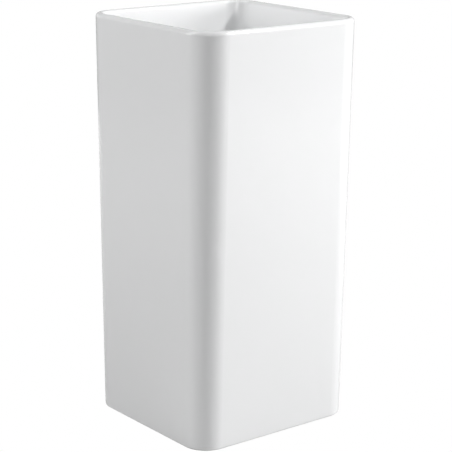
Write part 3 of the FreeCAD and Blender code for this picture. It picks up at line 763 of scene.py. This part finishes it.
@dataclass
class Maker:
    """Turns finished meshes into pieces and reports them."""

    finishes: dict[Finish, Material]

    def piece(self, name: str, work: BMesh, finish: Finish, body: Body,
              slot: Slot, stands_for: str | None = None) -> Object:
        """Make one piece of the object.

        Args:
            name: The piece's name.
            work: Its mesh, in place; it is freed.
            finish: Which finish it gets.
            body: The body that it rides on.
            slot: The material slot of its finish; not used.
            stands_for: A CAD node that it replaces.

        Returns:
            The new object.
        """
        mesh = bpy.data.meshes.new(name)
        work.to_mesh(mesh)
        work.free()
        for polygon in mesh.polygons:
            polygon.use_smooth = True
        mesh.set_sharp_from_angle(angle=SHARP)
        mesh.materials.append(self.finishes[finish])
        piece = bpy.data.objects.new(name, mesh)
        even = piece.modifiers.new("even_normals", "WEIGHTED_NORMAL")
        even.keep_sharp = True
        bpy.context.scene.collection.objects.link(piece)
        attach(piece, body.value)
        if stands_for:
            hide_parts(stands_for)
        LOG.info("%s: %d faces on %s", name, len(mesh.polygons), body.value)
        return piece


# ---------------------------------------------------------------- sub-assemblies

@dataclass
class WasteSet:
    """The click-clack waste: its flanged body gets a real thread and a spider."""

    maker: Maker
    pitch: float = 2.309 * MM
    thread_depth: float = 1.1 * MM
    thread_start: float = 1.0 * MM
    bore: float = 18.0 * MM
    tube: float = 20.95 * MM
    plain_neck: float = 13.0 * MM
    neck_foot: float = 14.0 * MM
    lip: float = 1.6 * MM
    lip_edge: float = 0.8 * MM
    seat: float = 27.0 * MM
    seat_deep: float = 6.0 * MM
    spider_deep: float = 24.0 * MM
    spider_high: float = 6.0 * MM
    spoke_wide: float = 3.0 * MM
    spoke_round: float = 0.8 * MM
    spoke_let_in: float = 0.5 * MM
    hub: float = 8.0 * MM
    hub_steps: int = 48
    sleeve: float = 6.0 * MM

    def build(self) -> None:
        """Make the waste's body."""
        low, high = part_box("waste_body")
        gasket_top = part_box("waste_gasket")[1].z
        rim = high.x
        root = self.tube - self.thread_depth
        neck = gasket_top - self.plain_neck
        shell = lathe([
            (self.bore, low.z, 0.5 * MM), (root, low.z, 0.6 * MM),
            (root, gasket_top - self.neck_foot, 0), (self.tube, neck, 0),
            (self.tube, gasket_top, 0), (rim, gasket_top, 0.4 * MM),
            (rim, high.z - self.lip_edge, 0.6 * MM), (rim - self.lip, high.z, 0.8 * MM),
            (self.seat, high.z, 0.8 * MM), (self.bore, high.z - self.seat_deep, 1.0 * MM)])
        ridge = thread(self.tube, low.z + self.thread_start, neck, self.pitch, self.thread_depth)
        whole = joined([shell, ridge, self.spider(high.z - self.spider_deep)])
        self.maker.piece("waste_fitting", whole, Finish.CHROME, Body.BASIN, Slot.CHROME,
                         "waste_body")

    def spider(self, top: float) -> BMesh:
        """Make the three spokes and the hub that hold the cartridge.

        Args:
            top: Height of their upper face.

        Returns:
            Their mesh.
        """
        foot = top - self.spider_high
        hub = lathe([
            (self.sleeve, foot, 0.3 * MM), (self.hub, foot, 0.6 * MM),
            (self.hub, top, 0.6 * MM), (self.sleeve, top, 0.3 * MM)], self.hub_steps)
        spokes = bmesh.new()
        bmesh.ops.create_cube(spokes, size=1.0)
        reach = self.bore + self.spoke_let_in - self.hub + self.spoke_let_in
        bmesh.ops.scale(spokes, verts=spokes.verts[:],
                        vec=(reach, self.spoke_wide, self.spider_high))
        middle = (self.hub - self.spoke_let_in + reach / 2, 0, (foot + top) / 2)
        bmesh.ops.translate(spokes, verts=spokes.verts[:], vec=middle)
        long_edges = [edge for edge in spokes.edges
                      if abs(edge.verts[0].co.x - edge.verts[1].co.x) > SAME_PLACE]
        bmesh.ops.bevel(spokes, geom=long_edges, offset=self.spoke_round, segments=EDGE_STEPS,
                        profile=0.5, affect="EDGES", material=-1)
        one = spokes.verts[:] + spokes.edges[:] + spokes.faces[:]
        bmesh.ops.spin(spokes, geom=one, cent=(0, 0, 0), axis=(0, 0, 1), dvec=(0, 0, 0),
                       angle=FULL_TURN * 2 / 3, steps=2, use_duplicate=True)
        return joined([hub, spokes])


@dataclass
class BottleTrap:
    """The bottle trap: ribbed union nuts, an unscrewing cup and the pipe to the wall."""

    maker: Maker
    nut_face: float = 3.0 * MM
    rib: float = 1.6 * MM
    ribs: int = 18
    inlet_thread: float = 21.0 * MM
    inlet_hole: float = 16.6 * MM
    trap_thread: float = 20.05 * MM
    trap_hole: float = 16.3 * MM
    collar: float = 0.9 * MM
    height: float = 553.0 * MM
    bead: float = 1.6 * MM
    pipe_wall: float = 1.8 * MM
    stop_back: float = 40.0 * MM
    cup_rib: float = 1.5 * MM
    cup_ribs: int = 24
    cup_wall: float = 2.6 * MM
    cup_drum: float = 29.0 * MM
    cup_thread: float = 30.3 * MM
    cup_socket: float = 15.4 * MM

    def build(self) -> None:
        """Make the trap's pieces."""
        low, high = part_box("inlet_nut")
        tall = high.z - low.z
        nut = self.union_nut(high.x - self.rib, tall, self.inlet_thread, self.inlet_hole)
        bmesh.ops.translate(nut, verts=nut.verts[:], vec=(0, 0, low.z))
        self.put("union_nut_inlet", nut, "inlet_nut")
        low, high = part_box("trap_nut")
        tall = high.z - low.z
        nut = self.union_nut(high.x - self.rib, tall, self.trap_thread, self.trap_hole)
        nut = self.turned_over(nut)
        bmesh.ops.translate(nut, verts=nut.verts[:], vec=(0, 0, high.z))
        self.put("union_nut_neck", nut, "trap_nut")
        low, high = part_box("outlet_nut")
        tall = high.y - low.y
        nut = self.union_nut(high.x - self.rib, tall, self.trap_thread, self.trap_hole)
        nut = self.turned_over(nut)
        bmesh.ops.translate(nut, verts=nut.verts[:], vec=(0, 0, high.y))
        self.put("union_nut_outlet", laid_back(nut, self.height), "outlet_nut")
        self.put("bottle_upper", eased("trap_body", 0.5 * MM), "trap_body")
        self.put("dip_tube", eased("inlet_tube", 0.3 * MM), "inlet_tube")
        self.put("wall_pipe", self.wall_pipe(), "waste_arm")
        self.maker.piece("bottle_cup", self.cup(), Finish.POLYPROPYLENE, Body.TRAP_CUP,
                         Slot.WHITE_PP, "trap_cup")

    def put(self, name: str, work: BMesh, stands_for: str) -> None:
        """Make one moulded piece that stays with the basin."""
        self.maker.piece(name, work, Finish.POLYPROPYLENE, Body.BASIN, Slot.WHITE_PP, stands_for)

    def union_nut(self, radius: float, tall: float, thread_r: float,
                  hole_r: float) -> BMesh:
        """Make a ribbed union nut standing on z = 0, its face at the foot.

        Args:
            radius: Radius of the body between the ribs.
            tall: Height.
            thread_r: Radius of the threaded bore.
            hole_r: Radius of the hole in the face.

        Returns:
            Its mesh.
        """
        collar = radius + self.collar
        body = lathe([
            (hole_r, 0, 0.5 * MM), (radius, 0, 1.8 * MM), (radius, tall - 2.4 * MM, 0),
            (collar, tall - 1.6 * MM, 0.3 * MM), (collar, tall, 0.5 * MM),
            (thread_r, tall, 0.6 * MM), (thread_r, self.nut_face, 0.4 * MM),
            (hole_r, self.nut_face, 0.3 * MM)])
        grips = grip_ribs(self.ribs, radius, self.rib, 2.2 * MM, tall - 1.8 * MM)
        return joined([body, grips])

    def turned_over(self, work: BMesh) -> BMesh:
        """Turn a mesh that stands on z = 0 upside down, so that its foot is at the top.

        Args:
            work: The mesh.

        Returns:
            The same mesh.
        """
        turn = Matrix.Rotation(math.pi, 3, "X")
        bmesh.ops.rotate(work, verts=work.verts[:], cent=(0, 0, 0), matrix=turn)
        return work

    def wall_pipe(self) -> BMesh:
        """Make the pipe to the wall, with its stop bead and rounded lips.

        Returns:
            Its mesh.
        """
        low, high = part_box("waste_arm")
        bead = high.x
        radius = bead - self.bead
        bore = radius - self.pipe_wall
        stop = high.y - self.stop_back
        pipe = lathe([
            (bore, low.y, 0.4 * MM), (radius, low.y, 0.5 * MM),
            (radius, stop - 3.4 * MM, 0.4 * MM), (bead, stop - 3.0 * MM, 0.8 * MM),
            (bead, stop - 0.4 * MM, 0.8 * MM), (radius, stop, 0.4 * MM),
            (radius, high.y, 0.7 * MM), (bore, high.y, 0.5 * MM)])
        return laid_back(pipe, self.height)

    def cup(self) -> BMesh:
        """Make the cup that unscrews for cleaning, with its ribbed skirt.

        Returns:
            Its mesh.
        """
        low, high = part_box("trap_cup")
        skirt = high.x - self.cup_rib
        drum = self.cup_drum
        bore = drum - self.cup_wall
        ledge = high.z - self.cup_socket
        floor = low.z + self.cup_wall
        shell = lathe([
            (0, low.z, 0), (drum - 9 * MM, low.z, 0.8 * MM),
            (drum - 7 * MM, low.z + 1.2 * MM, 0.8 * MM), (drum, low.z + 5 * MM, 3.5 * MM),
            (drum, ledge - 6.6 * MM, 1.5 * MM), (skirt, ledge - 2.3 * MM, 1.5 * MM),
            (skirt, high.z, 0.9 * MM), (self.cup_thread, high.z, 0.6 * MM),
            (self.cup_thread, ledge, 0.3 * MM), (bore, ledge, 0.5 * MM),
            (bore, floor + 4 * MM, 3 * MM), (bore - 6 * MM, floor + 1 * MM, 1 * MM),
            (0, floor + 1 * MM, 0)])
        grips = grip_ribs(self.cup_ribs, skirt, self.cup_rib, ledge - 2.0 * MM, high.z - 1.0 * MM)
        return joined([shell, grips])


@dataclass
class SealsAndNuts:
    """Rubber rings, washers and the brass backnut, with their moulded or turned edges."""

    maker: Maker

    def build(self) -> None:
        """Make the pieces between the waste and the ceramic."""
        for name, node, width, finish, slot in (
                ("flange_gasket", "waste_gasket", 0.4 * MM, Finish.RUBBER, Slot.BLACK_RUBBER),
                ("tapered_washer", "cone_washer", 0.6 * MM, Finish.RUBBER, Slot.BLACK_RUBBER),
                ("friction_ring", "slip_washer", 0.3 * MM, Finish.NYLON, Slot.NYLON),
                ("brass_backnut", "backnut", 0.4 * MM, Finish.BRASS, Slot.BRASS),
                ("cartridge_sleeve", "click_sleeve", 0.3 * MM, Finish.BRASS, Slot.BRASS)):
            self.maker.piece(name, eased(node, width), finish, Body.BASIN, slot, node)


@dataclass
class FloorFixing:
    """The two floor angles and their hardware, with pressed and rolled edges."""

    maker: Maker
    pitch: float = 1.25 * MM
    thread_depth: float = 0.6 * MM
    shank: float = 4.0 * MM
    nut_half_wide: float = 7.5 * MM
    past_nut: float = 1.0 * MM

    def build(self) -> None:
        """Make the fixings' pieces."""
        for name, node, width, finish, slot in (
                ("floor_angles", "floor_brackets", 0.5 * MM, Finish.ZINC, Slot.ZINC_STEEL),
                ("ceramic_pads", "fixing_pads", 0.4 * MM, Finish.RUBBER, Slot.BLACK_RUBBER),
                ("flanged_bushes", "fixing_bushes", 0.3 * MM, Finish.NYLON, Slot.NYLON),
                ("plain_washers", "fixing_washers", 0.3 * MM, Finish.ZINC, Slot.ZINC_STEEL),
                ("hexagon_nuts", "fixing_nuts", 0.2 * MM, Finish.ZINC, Slot.ZINC_STEEL)):
            self.maker.piece(name, eased(node, width), finish, Body.BASIN, slot, node)
        self.maker.piece("hexagon_bolts", self.bolts(), Finish.ZINC, Body.BASIN, Slot.ZINC_STEEL,
                         "fixing_bolts")

    def bolts(self) -> BMesh:
        """Make both bolts with a rolled thread on their free ends.

        Returns:
            Their mesh.
        """
        low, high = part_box("fixing_bolts")
        height = (low.z + high.z) / 2.0
        nut_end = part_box("fixing_nuts")[0].y
        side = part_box("fixing_nuts")[1].x - self.nut_half_wide
        parts = [eased("fixing_bolts", 0.25 * MM)]
        for sign in (-1, 1):
            ridge = thread(self.shank + self.thread_depth / 2, low.y, nut_end + self.past_nut,
                           self.pitch, self.thread_depth)
            laid_back(ridge, height)
            bmesh.ops.translate(ridge, verts=ridge.verts[:], vec=(sign * side, 0, 0))
            parts.append(ridge)
        return joined(parts)


# ---------------------------------------------------------------- studio

@dataclass
class Studio:
    """Pale floor, soft lights and the camera."""

    azimuth: float = math.radians(-38.134)
    pitch: float = math.radians(14.837)
    roll: float = 0.0072
    lens: float = 125.0
    place: tuple[float, float, float] = (-1.9689, -2.5191, 1.2514)
    floor_half: float = 20.0
    floor_down: float = 0.4 * MM
    sweep_down: float = 0.8 * MM
    paper: str = "#B6B6B6"
    paper_dark: str = "#B2B2B2"
    paper_rough: float = 0.9
    fibre_mm: float = 300.0
    aim_height: float = 0.55
    room: float = 0.03
    room_mirrored: float = 0.45

    def build(self) -> None:
        """Make everything that isn't part of the object."""
        self.add_floor()
        self.add_world()
        self.add_camera()
        self.add_lights()

    def add_floor(self) -> None:
        """Lay a grey floor that gives the bounce light and a white one that is seen."""
        paper, tree, place = new_finish("studio_grey_paper")
        fibre = add_node(tree, "TexNoise", {
            "Vector": place, "Scale": frequency(self.fibre_mm)})
        tone = add_node(tree, "Mix", {
            "Factor": fibre.outputs["Fac"], MIX_A: linear(self.paper),
            MIX_B: linear(self.paper_dark)}, data_type="RGBA")
        shader = add_node(tree, "BsdfPrincipled", {
            "Base Color": tone.outputs[MIX_OUT], "Roughness": self.paper_rough})
        add_node(tree, "OutputMaterial", {"Surface": shader.outputs["BSDF"]})
        bounce = self.plane("studio_floor", -self.floor_down)
        bounce.data.materials.append(paper)
        bounce.visible_camera = False
        white, tree, _ = new_finish("studio_white_sweep")
        glow = add_node(tree, "Emission", {"Color": (1, 1, 1, 1), "Strength": 1.0})
        add_node(tree, "OutputMaterial", {"Surface": glow.outputs["Emission"]})
        seen = self.plane("studio_sweep", -self.sweep_down)
        seen.data.materials.append(white)
        for ray in ("diffuse", "glossy", "transmission", "shadow"):
            setattr(seen, "visible_" + ray, False)

    def plane(self, name: str, height: float) -> Object:
        """Make a level square of the floor's size.

        Args:
            name: The plane's name.
            height: Its height.

        Returns:
            The plane, marked as stage.
        """
        grid = bmesh.new()
        bmesh.ops.create_grid(grid, x_segments=1, y_segments=1, size=self.floor_half)
        bmesh.ops.translate(grid, verts=grid.verts, vec=(0, 0, height))
        mesh = bpy.data.meshes.new(name)
        grid.to_mesh(mesh)
        grid.free()
        piece = bpy.data.objects.new(name, mesh)
        bpy.context.scene.collection.objects.link(piece)
        return piece

    def add_world(self) -> None:
        """Make a white room that is seen and mirrored, and that adds only a little light."""
        world = bpy.data.worlds.new("studio_room")
        world.use_nodes = True
        bpy.context.scene.world = world
        tree = world.node_tree
        tree.nodes.clear()
        path = add_node(tree, "LightPath")
        mirrored = add_node(tree, "Math", {
            0: path.outputs["Is Glossy Ray"], 1: self.room_mirrored, 2: self.room},
            operation="MULTIPLY_ADD")
        seen = add_node(tree, "Math", {
            0: path.outputs["Is Camera Ray"], 1: mirrored.outputs["Value"]}, operation="MAXIMUM")
        sky = add_node(tree, "Background", {
            "Color": (1, 1, 1, 1), "Strength": seen.outputs["Value"]})
        add_node(tree, "OutputWorld", {"Surface": sky.outputs["Background"]})

    def add_camera(self) -> None:
        """Place the camera."""
        data = bpy.data.cameras.new("camera")
        data.lens = self.lens
        camera = bpy.data.objects.new("camera", data)
        turn = Matrix.Rotation(self.azimuth, 4, "Z")
        tilt = Matrix.Rotation(math.pi / 2 - self.pitch, 4, "X")
        level = Matrix.Rotation(self.roll, 4, "Z")
        camera.matrix_world = Matrix.Translation(self.place) @ turn @ tilt @ level
        bpy.context.scene.collection.objects.link(camera)
        bpy.context.scene.camera = camera

    def add_lights(self) -> None:
        """Hang a key high at the front right, broad panels round the sides and weak fills.

        Each row gives a light's azimuth, elevation, distance, side and power.
        """
        for name, row in {
                "key": (43.0, 41.4, 4.05, 0.5, 88.0),
                "panel_right": (60.0, 12.0, 3.5, 1.2, 60.0),
                "panel_front_right": (40.0, 12.0, 3.5, 1.2, 21.0),
                "panel_front_left": (-45.0, 12.0, 3.5, 1.2, 21.3),
                "panel_back_left_high": (-118.0, 45.0, 3.5, 1.8, 49.0),
                "panel_back_left_low": (-120.0, 12.0, 3.5, 1.2, 20.5),
                "panel_back": (175.0, 12.0, 3.5, 1.2, 60.0)}.items():
            self.softbox(name, *row)
        bpy.data.objects["panel_back"].visible_glossy = False

    def softbox(self, name: str, azimuth: float, elevation: float, distance: float, side: float,
                power: float) -> None:
        """Hang a square softbox that faces the middle of the object.

        Args:
            name: The light's name.
            azimuth: Its direction in degrees round the object, 0 in front and 90 at the right.
            elevation: Its height over the level in degrees.
            distance: Its distance from the object.
            side: Its side length.
            power: Its power in watts.
        """
        data = bpy.data.lights.new(name, "AREA")
        data.shape = "SQUARE"
        data.size = side
        data.energy = power
        light = bpy.data.objects.new(name, data)
        round_z = Matrix.Rotation(math.radians(azimuth), 3, "Z")
        over_x = Matrix.Rotation(math.radians(-elevation), 3, "X")
        out = round_z @ over_x @ Vector((0.0, -1.0, 0.0))
        light.location = Vector((0.0, 0.0, self.aim_height)) + out * distance
        light.rotation_euler = out.to_track_quat("Z", "Y").to_euler()
        bpy.context.scene.collection.objects.link(light)


# ---------------------------------------------------------------- assembly

NODE_FINISHES = {
    Finish.CHINA: ("basin_body",),
    Finish.CHROME: ("waste_body", "plug_cap"),
    Finish.BRASS: ("click_sleeve", "plug_stem", "backnut"),
    Finish.SPRING: ("click_spring",),
    Finish.RUBBER: ("waste_gasket", "plug_seal", "cone_washer", "inlet_seal", "trap_seal",
                    "cup_seal", "outlet_seal", "fixing_pads"),
    Finish.NYLON: ("slip_washer", "fixing_bushes"),
    Finish.ZINC: ("floor_brackets", "fixing_washers", "fixing_bolts", "fixing_nuts"),
    Finish.POLYPROPYLENE: ("inlet_nut", "inlet_tube", "trap_nut", "trap_body", "trap_cup",
                           "outlet_nut", "waste_arm"),
}


def dress_nodes(finishes: dict[Finish, Material]) -> None:
    """Give every CAD node its finish.

    Args:
        finishes: The built materials.
    """
    for finish, nodes in NODE_FINISHES.items():
        for name in nodes:
            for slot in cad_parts[name].material_slots:
                slot.material = finishes[finish]


def main() -> None:
    """Build the studio and dress the object."""
    logging.basicConfig(level=logging.INFO)
    bpy.context.scene.view_settings.view_transform = "Standard"
    Studio().build()
    finishes = {
        Finish.CHINA: GlazedChina().build(),
        Finish.CHROME: ChromePlate().build(),
        Finish.BRASS: TurnedBrass().build(),
        Finish.SPRING: SpringWire().build(),
        Finish.RUBBER: MouldedRubber().build(),
        Finish.NYLON: NaturalNylon().build(),
        Finish.ZINC: ZincPlate().build(),
        Finish.POLYPROPYLENE: MouldedPolypropylene().build(),
    }
    dress_nodes(finishes)
    maker = Maker(finishes)
    for assembly in (WasteSet, BottleTrap, SealsAndNuts, FloorFixing):
        assembly(maker).build()


if __name__ == "__main__":
    main()
